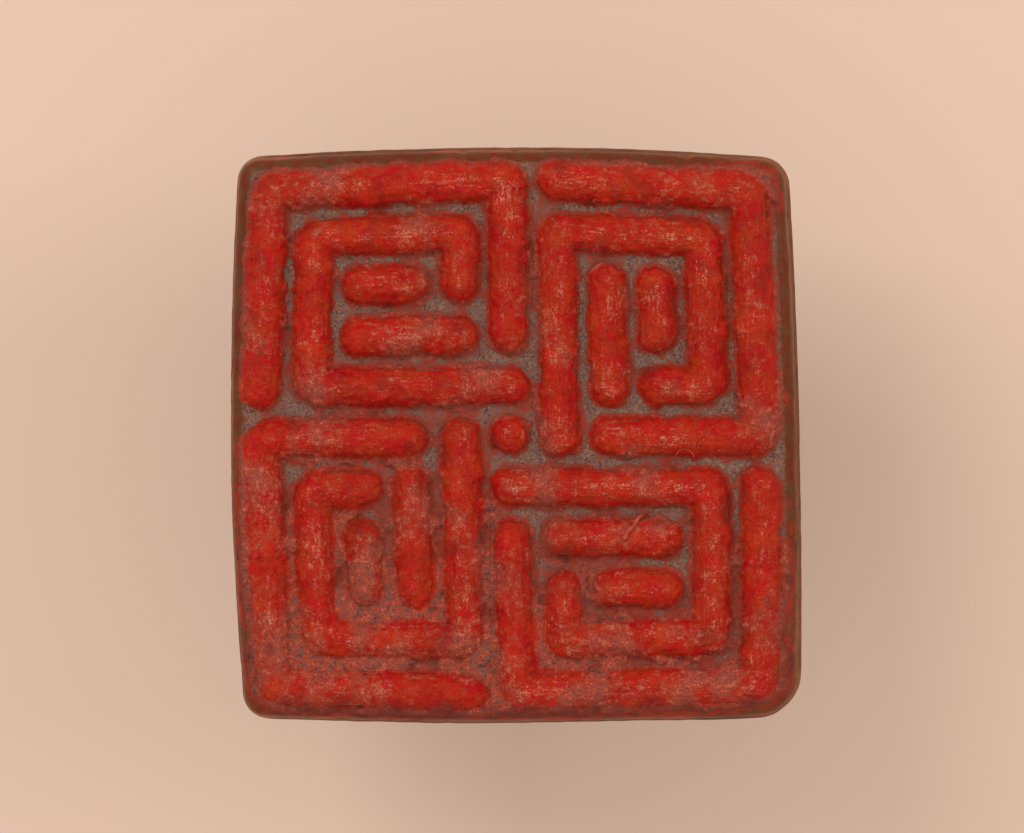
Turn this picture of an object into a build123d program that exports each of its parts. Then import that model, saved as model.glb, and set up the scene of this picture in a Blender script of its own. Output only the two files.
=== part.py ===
from build123d import *
import os

# A small square bronze seal with a strip-built face, standing on its knob with its
# printing face up. All sizes are in millimetres. +Z leaves the printing face, +Y is
# the top of the design, and the origin is the middle of the knob's flat end.

# Block: a squat square casting, widest at its waist, drawn in to its face and its back
block_width = 17.0
block_breadth = 17.15
block_thickness = 5.0
waist_height = 0.5
face_inset = 0.2
face_draft_height = 1.9
face_edge_radius = 0.42
back_inset = 0.25
back_edge_break = 0.45

# The block's worn outline: how far each side bows out and how round each corner is
top_bow = 0.31
right_bow = 0.18
bottom_bow = 0.19
left_bow = 0.34
top_left_radius = 0.75
top_right_radius = 0.95
bottom_right_radius = 1.4
bottom_left_radius = 0.8

# Where the corners stand, clockwise from the top left, as shares of the half sizes
corner_shares = [(-0.969, 0.968), (0.955, 0.966), (1.0, -0.970), (-0.951, -0.982)]

# Knob: a pierced tapered slab, broad along Y, with a tenon for the block's socket
knob_height = 8.4
knob_foot_thickness = 5.0
knob_foot_width = 9.0
knob_end_thickness = 3.9
knob_end_width = 7.6
knob_shoulder_radius = 1.7
knob_edge_break = 0.35
eye_radius = 1.3
eye_height = 4.3
eye_mouth_break = 0.3
tenon_thickness = 2.4
tenon_width = 4.6
tenon_length = 1.6
tenon_lead = 0.25
tenon_clearance = 0.05

# Braze: the hollow-faced bead round the knob's root
braze_leg = 0.6
braze_hollow = 0.22
braze_lip = 0.08
braze_corner_radius = 0.5

# Fret: bent strips brazed to the face, on a lattice that follows the block's outline
fret_top_margin = 0.58
fret_right_margin = 0.75
fret_bottom_margin = 0.58
fret_left_margin = 0.58
strip_width = 0.95
strip_height = 0.5
strip_crown = 0.25
strip_bend_radius = 0.75

# Seal paste: the dried coat on the crown of each strip
paste_thickness = 0.06

# The lattice has this many steps from the middle boss out to each side of the fret
lattice_reach = 5

# The upper left panel's strips, in lattice steps from the middle boss
panel_strips = {
    "outer_hook": [(-5, 1), (-5, 5), (0, 5), (0, 2)],
    "inner_hook": [(0, 1), (-4, 1), (-4, 4), (-1, 4), (-1, 3)],
    "long_bar": [(-3, 2), (-1, 2)],
    "short_bar": [(-3, 3), (-2, 3)],
}

# The panels follow each other clockwise, each a quarter turn on from the last
panel_names = ["upper_left", "upper_right", "lower_right", "lower_left"]

# Levels above the knob's flat end
back_level = knob_height
ground_level = back_level + block_thickness
crown_level = ground_level + strip_height

# What the sizes above leave for the block's lower draft and for a crown's flat top
back_draft_height = block_thickness - waist_height - face_draft_height
crown_width = strip_width - 2 * strip_crown


def finish_piece(piece, name):
    """Labels a finished piece and writes it."""
    piece.label = name
    export_step(piece, f"parts/{name}.step")


def block_corners(top=0, right=0, bottom=0, left=0):
    """The block's four corners, clockwise from the top left, with its sides drawn in."""
    corners = []
    for share_x, share_y in corner_shares:
        x = share_x * block_width / 2 - (right if share_x > 0 else -left)
        y = share_y * block_breadth / 2 - (top if share_y > 0 else -bottom)
        corners.append(Vector(x, y))
    return corners


def block_outline(level):
    """The block's bowed outline at its waist."""
    corners = block_corners()
    bows = (top_bow, right_bow, bottom_bow, left_bow)
    radii = (top_left_radius, top_right_radius, bottom_right_radius, bottom_left_radius)
    with BuildSketch(Plane.XY.offset(level)) as outline:
        with BuildLine():
            for start, end, bow in zip(corners, corners[1:] + corners[:1], bows):
                SagittaArc(start, end, bow)
        make_face()
        for corner, radius in zip(corners, radii):
            fillet(outline.vertices().sort_by_distance(corner)[0], radius)
    return outline.sketch


def knob_size(level, end, foot):
    """The tapered knob's thickness or width on a level, between its end and its foot."""
    return end + (foot - end) * level / knob_height


def tapered_outline(end, foot):
    """The knob's outline from one side, from its flat end up to its wider foot."""
    with BuildSketch() as outline:
        with BuildLine():
            Polyline(
                (-foot / 2, knob_height),
                (foot / 2, knob_height),
                (end / 2, 0),
                (-end / 2, 0),
                close=True,
            )
        make_face()
    return outline.sketch


def strip_outline(route, width, level):
    """A strip's outline on a level: round free ends and round outsides to its bends."""
    spread = (width - strip_width) / 2
    with BuildSketch(Plane.XY.offset(level)) as outline:
        with BuildLine():
            Polyline(*route)
        trace(line_width=width)
        with Locations(route[0], route[-1]):
            Circle(width / 2)
        for before, bend, after in zip(route, route[1:], route[2:]):
            outward = (bend - before).normalized() - (after - bend).normalized()
            outside = outline.vertices().sort_by_distance(bend + outward * (width / 2))[0]
            fillet(outside, strip_bend_radius + spread)
    return outline.sketch


def lattice_place(x, y):
    """The place on the face of a lattice node, which leans and bows as the sides do."""
    margins = (fret_top_margin, fret_right_margin, fret_bottom_margin, fret_left_margin)
    insets = [margin + strip_width / 2 for margin in margins]
    top_left, top_right, bottom_right, bottom_left = block_corners(*insets)
    across = (x / lattice_reach + 1) / 2
    up = (y / lattice_reach + 1) / 2
    left = bottom_left + (top_left - bottom_left) * up
    right = bottom_right + (top_right - bottom_right) * up
    bow_x = right_bow * across - left_bow * (1 - across)
    bow_y = top_bow * up - bottom_bow * (1 - up)
    swell = Vector(bow_x * 4 * up * (1 - up), bow_y * 4 * across * (1 - across))
    return left + (right - left) * across + swell


def boss_outline(width, level):
    """The middle boss's outline on a level."""
    with BuildSketch(Plane.XY.offset(level)) as outline:
        with Locations(lattice_place(0, 0)):
            Circle(width / 2)
    return outline.sketch


def panel_route(steps, quarter_turns):
    """Lattice steps turned clockwise by quarter turns, as places on the face."""
    route = []
    for x, y in steps:
        for _ in range(quarter_turns):
            x, y = y, -x
        route.append(lattice_place(x, y))
    return route


def make_strip(outline, name):
    """A strip or boss that stands on the ground, with its crown's edges eased."""
    with BuildPart() as strip:
        add(outline)
        extrude(amount=strip_height)
        chamfer(strip.faces().sort_by(Axis.Z)[-1].edges(), strip_crown)
    finish_piece(strip.part, name)


os.makedirs("parts", exist_ok=True)

# Block, with a blind socket in its back for the knob's tenon
with BuildPart() as block:
    add(block_outline(back_level))
    extrude(amount=block_thickness)
    face = block.faces().sort_by(Axis.Z)[-1]
    chamfer(face.edges(), face_inset, face_draft_height, reference=face)
    back = block.faces().sort_by(Axis.Z)[0]
    chamfer(back.edges(), back_inset, back_draft_height, reference=back)
    fillet(block.faces().sort_by(Axis.Z)[-1].edges(), face_edge_radius)
    chamfer(block.faces().sort_by(Axis.Z)[0].edges(), back_edge_break)
    with BuildSketch(Plane.XY.offset(back_level)):
        Rectangle(tenon_thickness + 2 * tenon_clearance, tenon_width + 2 * tenon_clearance)
    extrude(amount=tenon_length + tenon_clearance, mode=Mode.SUBTRACT)
finish_piece(block.part, "seal_block")

# Knob: its broad outline crossed with its slim one, then the eye and the tenon
with BuildPart() as knob:
    with BuildSketch(Plane.YZ) as broad_side:
        add(tapered_outline(knob_end_width, knob_foot_width))
        fillet(broad_side.vertices().group_by(Axis.Y)[0], knob_shoulder_radius)
    extrude(amount=knob_foot_thickness, both=True)
    with BuildSketch(Plane.XZ):
        add(tapered_outline(knob_end_thickness, knob_foot_thickness))
    extrude(amount=knob_foot_width, both=True, mode=Mode.INTERSECT)
    broad_faces = ShapeList([knob.faces().sort_by(Axis.X)[0], knob.faces().sort_by(Axis.X)[-1]])
    chamfer(broad_faces.edges().group_by(Axis.Z)[:-1], knob_edge_break)
    with BuildSketch(Plane.YZ):
        with Locations((0, eye_height)):
            Circle(eye_radius)
    extrude(amount=knob_foot_thickness, both=True, mode=Mode.SUBTRACT)
    chamfer(knob.edges().filter_by(lambda edge: edge.is_closed), eye_mouth_break)
    with BuildSketch(Plane.XY.offset(knob_height)):
        Rectangle(tenon_thickness, tenon_width)
    extrude(amount=tenon_length)
    chamfer(knob.faces().sort_by(Axis.Z)[-1].edges(), tenon_lead)
finish_piece(knob.part, "knob")

# Braze: a hollow-faced bead on the block's back, fitted to the knob's root
with BuildPart() as braze:
    for drop, reach in ((0, braze_leg), (braze_hollow, braze_hollow), (braze_leg, braze_lip)):
        level = back_level - drop
        with BuildSketch(Plane.XY.offset(level)):
            RectangleRounded(
                knob_size(level, knob_end_thickness, knob_foot_thickness) + 2 * reach,
                knob_size(level, knob_end_width, knob_foot_width) + 2 * reach,
                braze_corner_radius,
            )
    loft(ruled=True)
    add(knob.part, mode=Mode.SUBTRACT)
finish_piece(braze.part, "knob_braze")

# Fret: four like panels round a middle boss, then the paste on each panel's crowns
for quarter_turns, panel in enumerate(panel_names):
    routes = [panel_route(steps, quarter_turns) for steps in panel_strips.values()]
    for strip_name, route in zip(panel_strips, routes):
        make_strip(strip_outline(route, strip_width, ground_level), f"{panel}_{strip_name}")
    with BuildPart() as paste:
        for route in routes:
            add(strip_outline(route, crown_width, crown_level))
        extrude(amount=paste_thickness)
    finish_piece(paste.part, f"{panel}_paste")

make_strip(boss_outline(strip_width, ground_level), "middle_boss")
with BuildPart() as middle_paste:
    add(boss_outline(crown_width, crown_level))
    extrude(amount=paste_thickness)
finish_piece(middle_paste.part, "middle_paste")
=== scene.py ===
"""Dresses a small bronze seal: worn metal, a fret in dried seal paste, a plain studio."""

import math
import random
from functools import partial

import bmesh
import bpy
from mathutils import Matrix, Vector, noise
from mathutils.bvhtree import BVHTree


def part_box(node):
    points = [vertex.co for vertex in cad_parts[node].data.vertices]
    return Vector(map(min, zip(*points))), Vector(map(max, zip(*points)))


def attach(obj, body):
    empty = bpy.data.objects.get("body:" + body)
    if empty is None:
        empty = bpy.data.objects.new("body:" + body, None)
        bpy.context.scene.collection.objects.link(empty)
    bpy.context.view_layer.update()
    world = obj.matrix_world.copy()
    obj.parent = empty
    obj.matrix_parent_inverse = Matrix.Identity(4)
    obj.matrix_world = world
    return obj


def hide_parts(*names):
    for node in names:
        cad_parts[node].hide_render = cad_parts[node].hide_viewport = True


bl_info = {
    "name": "Bronze Seal",
    "version": (1, 0, 0),
    "blender": (4, 5, 0),
    "location": "View3D > Sidebar > Seal",
    "description": "Worn bronze, dried seal paste and a plain studio for the seal stamp",
    "category": "Object",
}

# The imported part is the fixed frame, in metres, with +Z out of the printing face
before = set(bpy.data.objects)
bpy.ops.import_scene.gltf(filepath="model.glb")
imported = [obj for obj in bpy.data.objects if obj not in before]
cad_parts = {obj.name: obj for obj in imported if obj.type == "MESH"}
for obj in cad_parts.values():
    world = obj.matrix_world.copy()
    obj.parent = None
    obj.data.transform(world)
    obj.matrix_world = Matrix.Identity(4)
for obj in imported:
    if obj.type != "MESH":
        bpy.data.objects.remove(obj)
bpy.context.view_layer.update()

# One millimetre in the frame's metres
MM = 0.001

PANELS = ("upper_left", "upper_right", "lower_right", "lower_left")
STRIPS = ("outer_hook", "inner_hook", "long_bar", "short_bar")
STRIP_NODES = [f"{panel}_{strip}" for panel in PANELS for strip in STRIPS] + ["middle_boss"]

# Levels of the block's back, of the ground between the strips, of the strips' crowns, and
# of the top of the paste on them
BLOCK_LOW, BLOCK_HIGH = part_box("seal_block")
BACK_LEVEL = BLOCK_LOW.z
GROUND_LEVEL = BLOCK_HIGH.z
CROWN_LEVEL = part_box("middle_boss")[1].z
PASTE_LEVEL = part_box("middle_paste")[1].z
STRIP_HALF_WIDTH = (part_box("middle_boss")[1].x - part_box("middle_boss")[0].x) / 2

# Sockets of a Mix node, which has several of each name: colours, then plain numbers
MIX_FACTOR = 0
MIX_A = 6
MIX_B = 7
MIX_RESULT = 2
MIX_NUMBER_A = 2
MIX_NUMBER_B = 3

# Where paste pools and where it is wiped away: places and reach as shares of the face's
# half side, and how much paste is there, from -1 for none to 1 for full to the crowns
PASTE_POOL_SHARES = [
    (-0.66, -0.74, 0.46, 0.62),
    (-0.46, -0.28, 0.36, 0.46),
    (-0.92, -0.36, 0.24, 0.55),
    (0.02, -0.66, 0.26, 0.50),
    (-0.45, -1.00, 0.55, 0.65),
    (0.86, 0.86, 0.18, 0.80),
    (0.10, 0.62, 0.20, 0.35),
    (-0.30, 0.30, 0.22, 0.25),
    (0.93, -0.80, 0.20, 0.60),
    (1.00, -0.45, 0.16, 0.55),
    (0.30, -0.99, 0.45, 0.90),
    (-0.74, 0.90, 0.24, -1.10),
    (0.52, 0.30, 0.40, -0.22),
]

# Where the paste on the strips is thin and dirty: places, reach and amount in the same shares
PASTE_FADE_SHARES = [
    (-0.85, -0.80, 0.35, 0.50),
    (-0.20, -1.00, 0.60, 0.45),
    (0.70, -0.95, 0.40, 0.40),
    (-0.95, 0.00, 0.30, 0.30),
    (-0.80, 0.95, 0.30, 0.50),
    (0.95, 0.10, 0.22, 0.30),
    (-0.10, 0.35, 0.25, 0.35),
    (0.30, -0.25, 0.25, 0.30),
]

# Noise that breaks these up: the share of each layer, its size in millimetres and its seed
POOL_NOISE = ((0.8, 1.2, 1), (0.6, 0.45, 2), (0.12, 0.13, 3))
FADE_NOISE = ((0.9, 1.7, 11), (0.5, 0.6, 12))
EDGE_DARKENING_NOISE = ((0.07, 0.8, 13),)
CROWN_NOISE = ((0.5, 0.6, 9),)

# Casting: the widths of its swells, its tooth, its pores and the drips of paste down its sides,
# and the tooth's height as a share of the swells'
SWELL_SIZE = 3.2 * MM
TOOTH_SIZE = 0.45 * MM
PORE_SIZE = 0.6 * MM
DRIP_SIZE = 0.9 * MM
TOOTH_SHARE = 0.35

# Vertices that are as near as this are one
SAME_PLACE = 0.0005 * MM

# Wear: how often a mesh is softened and its bends are spread, how much wear a bend and a place
# far out get, and the least and most wear
SOFTENING_PASSES = 3
WEAR_SPREADS = 7
BEND_WEAR = 4.4
OUTWARD_WEAR = 0.35
LEAST_WEAR = -0.4
MOST_WEAR = 0.8

# The face's shoulder: how deep it counts as face, how far down stain and paste hang on below
# and above the face's middle, how soon its paste is all darkened, and where coats and meshes end
FACE_DEPTH = 0.25 * MM
STAIN_HOLD_BELOW = 0.9 * MM
STAIN_HOLD_ABOVE = 0.5 * MM
PASTE_HOLD_BELOW = 0.38 * MM
PASTE_HOLD_ABOVE = 0.17 * MM
RIM_DARKENING_DEPTH = 0.12 * MM
COAT_END_LEVEL = GROUND_LEVEL - 0.22 * MM
MESH_END_LEVEL = GROUND_LEVEL - 0.45 * MM

# The coat: how far it sinks into bare metal, the thinnest paste that stays, the thickness that
# hides the metal, the fillet at a strip's foot, how far from a strip it is all pool, and where
# the stain round it starts and ends. Texture shows in full from a thickness of its own
PASTE_SINK = 0.03 * MM
THINNEST_PASTE = 0.004 * MM
PASTE_BODY = 0.015 * MM
TEXTURE_BODY = 0.1 * MM
PASTE_FILLET = 0.08 * MM
POOL_REACH = 0.3 * MM
HALO_REACH = (0.06 * MM, 0.32 * MM)

# Floss: its threads' seed and number, how much a thread tapers, the loops' places and radii in
# millimetres, and the drawn-out strand's ends
FLOSS_SEED = 11
FLOSS_THREADS = 34
THREAD_TAPER = 0.4
FLOSS_LOOPS = ((5.05, -0.62, 0.27), (4.8, -0.78, 0.2))
STRAND_ENDS = ((3.26, -3.02), (3.98, -2.16))

# A colour's four channels
CHANNELS = {"size": 4, "min": 0, "max": 1}


def linear(hex_colour):
    """An sRGB hex colour as linear red, green and blue, with full alpha."""
    channels = [int(hex_colour[start:start + 2], 16) / 255 for start in (0, 2, 4)]
    return [c / 12.92 if c <= 0.04045 else ((c + 0.055) / 1.055) ** 2.4 for c in channels] + [1.0]


class MetalSettings(bpy.types.PropertyGroup):
    """Sizes and colours of the worn bronze."""

    block_mesh_step: bpy.props.FloatProperty(
        name="Block mesh step", description="Side of one face of the worn block's mesh",
        default=0.11 * MM, unit="LENGTH",
    )
    knob_mesh_step: bpy.props.FloatProperty(
        name="Knob mesh step", description="Side of one face of the worn knob's mesh",
        default=0.09 * MM, unit="LENGTH",
    )
    braze_mesh_step: bpy.props.FloatProperty(
        name="Braze mesh step", description="Side of one face of the braze bead's mesh",
        default=0.05 * MM, unit="LENGTH",
    )
    swell_height: bpy.props.FloatProperty(
        name="Swell height", description="How far a cast face swells and sinks",
        default=0.035 * MM, unit="LENGTH",
    )
    pit_depth: bpy.props.FloatProperty(
        name="Pit depth", description="Depth of the pores that casting left",
        default=0.06 * MM, unit="LENGTH",
    )
    patina_colour: bpy.props.FloatVectorProperty(
        name="Patina", description="Reddish brown of the block's sides",
        default=linear("74462a"), subtype="COLOR", **CHANNELS,
    )
    dirt_colour: bpy.props.FloatVectorProperty(
        name="Edge dirt", description="Maroon brown of old paste rubbed into the face's edge",
        default=linear("6a2a1a"), subtype="COLOR", **CHANNELS,
    )
    worn_colour: bpy.props.FloatVectorProperty(
        name="Worn bronze", description="Yellow brown where handling keeps the metal bright",
        default=linear("ac7c4c"), subtype="COLOR", **CHANNELS,
    )
    ground_colour: bpy.props.FloatVectorProperty(
        name="Ground", description="Grey mauve of the face between the strips",
        default=linear("84594a"), subtype="COLOR", **CHANNELS,
    )
    speck_colour: bpy.props.FloatVectorProperty(
        name="Ground specks", description="Tan grains on the ground",
        default=linear("a88a74"), subtype="COLOR", **CHANNELS,
    )
    shade_colour: bpy.props.FloatVectorProperty(
        name="Ground shade", description="Greenish grey patches on the ground",
        default=linear("776b5c"), subtype="COLOR", **CHANNELS,
    )
    braze_colour: bpy.props.FloatVectorProperty(
        name="Braze", description="Dull yellow of the braze",
        default=linear("93713f"), subtype="COLOR", **CHANNELS,
    )


class PasteSettings(bpy.types.PropertyGroup):
    """Sizes and colours of the dried seal paste."""

    mesh_step: bpy.props.FloatProperty(
        name="Mesh step", description="Side of one cell of the paste's mesh",
        default=0.038 * MM, unit="LENGTH",
    )
    crown_rise: bpy.props.FloatProperty(
        name="Crown rise",
        description="How high the paste stands over the ground along a strip's middle",
        default=PASTE_LEVEL - GROUND_LEVEL + 0.02 * MM, unit="LENGTH",
    )
    rim_rise: bpy.props.FloatProperty(
        name="Rim rise", description="How high the paste stands over the ground at a strip's side",
        default=PASTE_LEVEL - GROUND_LEVEL - 0.27 * MM, unit="LENGTH",
    )
    overhang: bpy.props.FloatProperty(
        name="Overhang", description="How far the paste leans out from a strip's side",
        default=0.2 * MM, unit="LENGTH",
    )
    wander: bpy.props.FloatProperty(
        name="Wander", description="How far the edge of the paste strays along a strip",
        default=0.17 * MM, unit="LENGTH",
    )
    fray: bpy.props.FloatProperty(
        name="Fray", description="Size of the small teeth along the edge of the paste",
        default=0.09 * MM, unit="LENGTH",
    )
    pool_depth: bpy.props.FloatProperty(
        name="Pool depth", description="Depth of the paste that clogs a channel",
        default=0.22 * MM, unit="LENGTH",
    )
    lump_height: bpy.props.FloatProperty(
        name="Lump height", description="Height of the dabs that the paste dried in",
        default=0.055 * MM, unit="LENGTH",
    )
    grain_height: bpy.props.FloatProperty(
        name="Grain height", description="Height of the paste's grain",
        default=0.03 * MM, unit="LENGTH",
    )
    thread_radius: bpy.props.FloatProperty(
        name="Thread radius", description="Radius of a floss thread in the paste",
        default=0.012 * MM, unit="LENGTH",
    )
    deep_colour: bpy.props.FloatVectorProperty(
        name="Deep red", description="Saturated red on the flanks of the strips",
        default=linear("b81c0c"), subtype="COLOR", **CHANNELS,
    )
    # The crest red is partly the paste's own dustier red and partly painted highlight on the
    # crests
    crest_colour: bpy.props.FloatVectorProperty(
        name="Crest red", description="Lighter red on the crests of the strips",
        default=linear("b42c18"), subtype="COLOR", **CHANNELS,
    )
    pool_colour: bpy.props.FloatVectorProperty(
        name="Pool red", description="Orange red where paste fills a channel",
        default=linear("a24a38"), subtype="COLOR", **CHANNELS,
    )
    # The dark grain red is the paste's darkest red, and also the painted shade in its pores
    dark_colour: bpy.props.FloatVectorProperty(
        name="Dark grain", description="Dark red of the pores between grains",
        default=linear("7c160e"), subtype="COLOR", **CHANNELS,
    )
    stain_colour: bpy.props.FloatVectorProperty(
        name="Stain", description="Brownish red film where the paste thins out",
        default=linear("8e4030"), subtype="COLOR", **CHANNELS,
    )
    # The glint colour is painted highlight: the pale specks on the crests, and the palest end of
    # the reds
    glint_colour: bpy.props.FloatVectorProperty(
        name="Glint", description="Pale pink of bare crystals and floss ends",
        default=linear("d8967c"), subtype="COLOR", **CHANNELS,
    )


class StudioSettings(bpy.types.PropertyGroup):
    """Sizes and colours of the studio round the seal."""

    floor_size: bpy.props.FloatProperty(
        name="Floor size", description="Side of the paper that the seal stands on",
        default=700 * MM, unit="LENGTH",
    )
    lens: bpy.props.FloatProperty(
        name="Lens", description="Focal length of the camera in millimetres",
        default=200, unit="CAMERA",
    )
    field_width: bpy.props.FloatProperty(
        name="Field width", description="Width that the camera sees at the seal's face",
        default=30.18 * MM, unit="LENGTH",
    )
    floor_colour: bpy.props.FloatVectorProperty(
        name="Floor", description="Warm pale paper",
        default=linear("efd0ba"), subtype="COLOR", **CHANNELS,
    )
    lamp_distance: bpy.props.FloatProperty(
        name="Lamp distance", description="How far the soft lamps stand from the seal",
        default=320 * MM, unit="LENGTH",
    )
    key_share: bpy.props.FloatProperty(
        name="Key light",
        description="Share of full light that the main lamp gives a surface that faces it",
        default=0.29, min=0, max=1, subtype="FACTOR",
    )
    side_share: bpy.props.FloatProperty(
        name="Side light",
        description="Share of full light that the side lamp gives a surface that faces it",
        default=0.15, min=0, max=1, subtype="FACTOR",
    )
    sky_share: bpy.props.FloatProperty(
        name="Room light", description="Share of full light that comes from all round",
        default=0.68, min=0, max=1, subtype="FACTOR",
    )


def feed(node, links):
    """Links or sets a node's sockets, where another node stands for its first output."""
    for socket, source in links.items():
        if isinstance(source, bpy.types.Node):
            source = source.outputs[0]
        if isinstance(source, bpy.types.NodeSocket):
            node.id_data.links.new(source, node.inputs[socket])
        else:
            node.inputs[socket].default_value = source


def add_node(tree, kind, links=None, **settings):
    """Adds a node to a tree with its settings, and links or sets its sockets."""
    node = tree.nodes.new(kind)
    for name, value in settings.items():
        setattr(node, name, value)
    feed(node, links or {})
    return node


def new_material(name):
    """A material, what adds nodes to it, its shader, and Object coordinates to lay patterns on."""
    material = bpy.data.materials.new(name)
    material.use_nodes = True
    add = partial(add_node, material.node_tree)
    place = add("ShaderNodeTexCoord").outputs["Object"]
    return material, add, material.node_tree.nodes["Principled BSDF"], place


def bronze_skin(add, place, metal):
    """Colour, roughness, relief, polish and mottle of bare bronze, from worn edges to hollows."""
    # Patches of patina are some millimetres across, and mottling a third of one
    patches, mottle = [
        add("ShaderNodeTexNoise", {
            "Vector": place, "Scale": 1 / (size * MM), "Detail": detail, "Roughness": tooth,
        })
        for size, detail, tooth in ((2.2, 8.0, 0.66), (0.3, 3.0, 0.65))
    ]
    rub_lines = add("ShaderNodeMapping", {
        "Vector": place, "Scale": [1 / (length * MM) for length in (0.06, 0.06, 1.2)],
    })
    rubs = add("ShaderNodeTexNoise", {
        "Vector": rub_lines, "Scale": 1.0, "Detail": 3.0, "Roughness": 0.7,
    })

    # Polish: edges and high patches are rubbed, in streaks with broken edges
    polish = add("ShaderNodeAttribute", attribute_name="wear").outputs["Fac"]
    for layer, weight in ((patches, 2.2), (mottle, 1.1), (rubs, 0.3)):
        polish = add("ShaderNodeMath", {0: layer, 1: weight, 2: polish}, operation="MULTIPLY_ADD")
    polish = add("ShaderNodeMapRange", {"Value": polish, "From Min": 1.5, "From Max": 2.75})
    colour = add("ShaderNodeValToRGB", {"Fac": polish})
    stops = colour.color_ramp.elements
    stops[0].color = linear("3a2318")
    stops[1].color = metal.worn_colour
    for position, shade in (
        (0.22, linear("52301c")),
        (0.45, metal.patina_colour),
        (0.7, linear("805234")),
    ):
        stops.new(position).color = shade

    # A little dull green in the hollows
    green = add("ShaderNodeTexNoise", {
        "Vector": place, "Scale": 1 / (0.9 * MM), "Detail": 6.0, "Roughness": 0.7,
        "Distortion": 0.6,
    })
    green = add("ShaderNodeMath", {0: polish, 1: -0.22, 2: green}, operation="MULTIPLY_ADD")
    green = add("ShaderNodeMapRange", {
        "Value": green, "From Min": 0.5, "From Max": 0.6, "To Max": 0.55,
    })
    colour = add("ShaderNodeMix", {
        MIX_FACTOR: green, MIX_A: colour, MIX_B: linear("5c5f48"),
    }, data_type="RGBA").outputs[MIX_RESULT]

    roughness = add("ShaderNodeMapRange", {"Value": polish, "To Min": 0.62, "To Max": 0.34})
    relief = add("ShaderNodeMath", {0: rubs, 1: 0.35, 2: mottle}, operation="MULTIPLY_ADD")
    return colour, roughness, relief, polish, mottle


def cast_bronze_material(metal, paste):
    """Bronze cast and left to age: satin reddish brown sides and a matt face, stained red."""
    material, add, shader, place = new_material("aged cast bronze")
    side, side_roughness, side_relief, polish, mottle = bronze_skin(add, place, metal)
    drop, stain = [
        add("ShaderNodeAttribute", attribute_name=name).outputs["Fac"]
        for name in ("drop", "stain")
    ]
    tarnish, grains = [
        add("ShaderNodeTexNoise", {
            "Vector": place, "Scale": 1 / (size * MM), "Detail": detail, "Roughness": tooth,
        })
        for size, detail, tooth in ((0.5, 5.0, 0.7), (0.075, 2.0, 0.75))
    ]

    # Maroon dirt, olive where it tarnished
    tarnish = add("ShaderNodeMapRange", {
        "Value": tarnish, "From Min": 0.44, "From Max": 0.6, "To Max": 0.75,
    })
    dirt_colour = add("ShaderNodeMix", {
        MIX_FACTOR: tarnish, MIX_A: metal.dirt_colour, MIX_B: linear("5c4228"),
    }, data_type="RGBA").outputs[MIX_RESULT]

    # Ground: brown, mauve and greenish grey run into each other, with tan grains
    blend = add("ShaderNodeMath", {0: mottle, 1: 0.7, 2: grains}, operation="MULTIPLY_ADD")
    ground = add("ShaderNodeValToRGB", {"Fac": blend})
    stops = ground.color_ramp.elements
    stops[0].position = 0.66
    stops[0].color = linear("5e4038")
    stops[1].position = 1.0
    stops[1].color = metal.speck_colour
    for position, shade in (
        (0.75, metal.ground_colour),
        (0.81, linear("7a5f60")),
        (0.86, metal.shade_colour),
        (0.91, metal.ground_colour),
    ):
        stops.new(position).color = shade

    # Dirt lies on the face's shoulder in a band with a broken lower edge, ground on its flat, and
    # flecks of paste, broken up by the grain, where it is stained. Each coat has a film of paste
    # round it
    shares = []
    for layer, weight, base, none, full, most in (
        (mottle, 0.4, drop, 0.72, 0.45, 0.95),
        (mottle, 0.1, drop, 0.08, 0.05, 1.0),
        (stain, 0.6, blend, 1.05, 1.25, 0.85),
    ):
        share = add("ShaderNodeMath", {0: layer, 1: weight, 2: base}, operation="MULTIPLY_ADD")
        shares.append(add("ShaderNodeMapRange", {
            "Value": share, "From Min": none, "From Max": full, "To Max": most,
        }))
    dirt, on_face, flecks = shares
    halo = add("ShaderNodeMath", {0: stain, 1: 0.35}, operation="MULTIPLY", use_clamp=True)
    colour = side
    for share, shade in (
        (dirt, dirt_colour),
        (on_face, ground),
        (halo, paste.stain_colour),
        (flecks, linear("a23020")),
    ):
        colour = add("ShaderNodeMix", {
            MIX_FACTOR: share, MIX_A: colour, MIX_B: shade,
        }, data_type="RGBA").outputs[MIX_RESULT]

    # Dirt, ground and paste hide the metal's shine
    covered = dirt
    for share in (on_face, flecks):
        covered = add("ShaderNodeMath", {0: covered, 1: share}, operation="MAXIMUM")
    metal_share = add("ShaderNodeMapRange", {"Value": polish, "To Min": 0.25, "To Max": 0.85})
    metal_share, roughness = [
        add("ShaderNodeMix", {MIX_FACTOR: share, MIX_NUMBER_A: bare, MIX_NUMBER_B: hidden})
        for share, bare, hidden in ((covered, metal_share, 0.05), (on_face, side_roughness, 0.65))
    ]
    relief = add("ShaderNodeMath", {0: side_relief, 1: grains}, operation="ADD")
    bump = add("ShaderNodeBump", {"Height": relief, "Strength": 0.7, "Distance": 0.012 * MM})
    feed(shader, {
        "Base Color": colour, "Metallic": metal_share, "Roughness": roughness, "Normal": bump,
        "Specular IOR Level": 0.2, "Specular Tint": linear("b89478"),
    })
    return material


def handled_bronze_material(metal):
    """Bronze cast, filed and polished by fingers: bright satin ridges over dark brown hollows."""
    material, add, shader, place = new_material("handled cast bronze")
    colour, roughness, relief, polish, _ = bronze_skin(add, place, metal)
    metal_share = add("ShaderNodeMapRange", {"Value": polish, "To Min": 0.4, "To Max": 1.0})
    bump = add("ShaderNodeBump", {"Height": relief, "Strength": 0.6, "Distance": 0.012 * MM})
    feed(shader, {
        "Base Color": colour, "Metallic": metal_share, "Roughness": roughness, "Normal": bump,
    })
    return material


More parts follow.
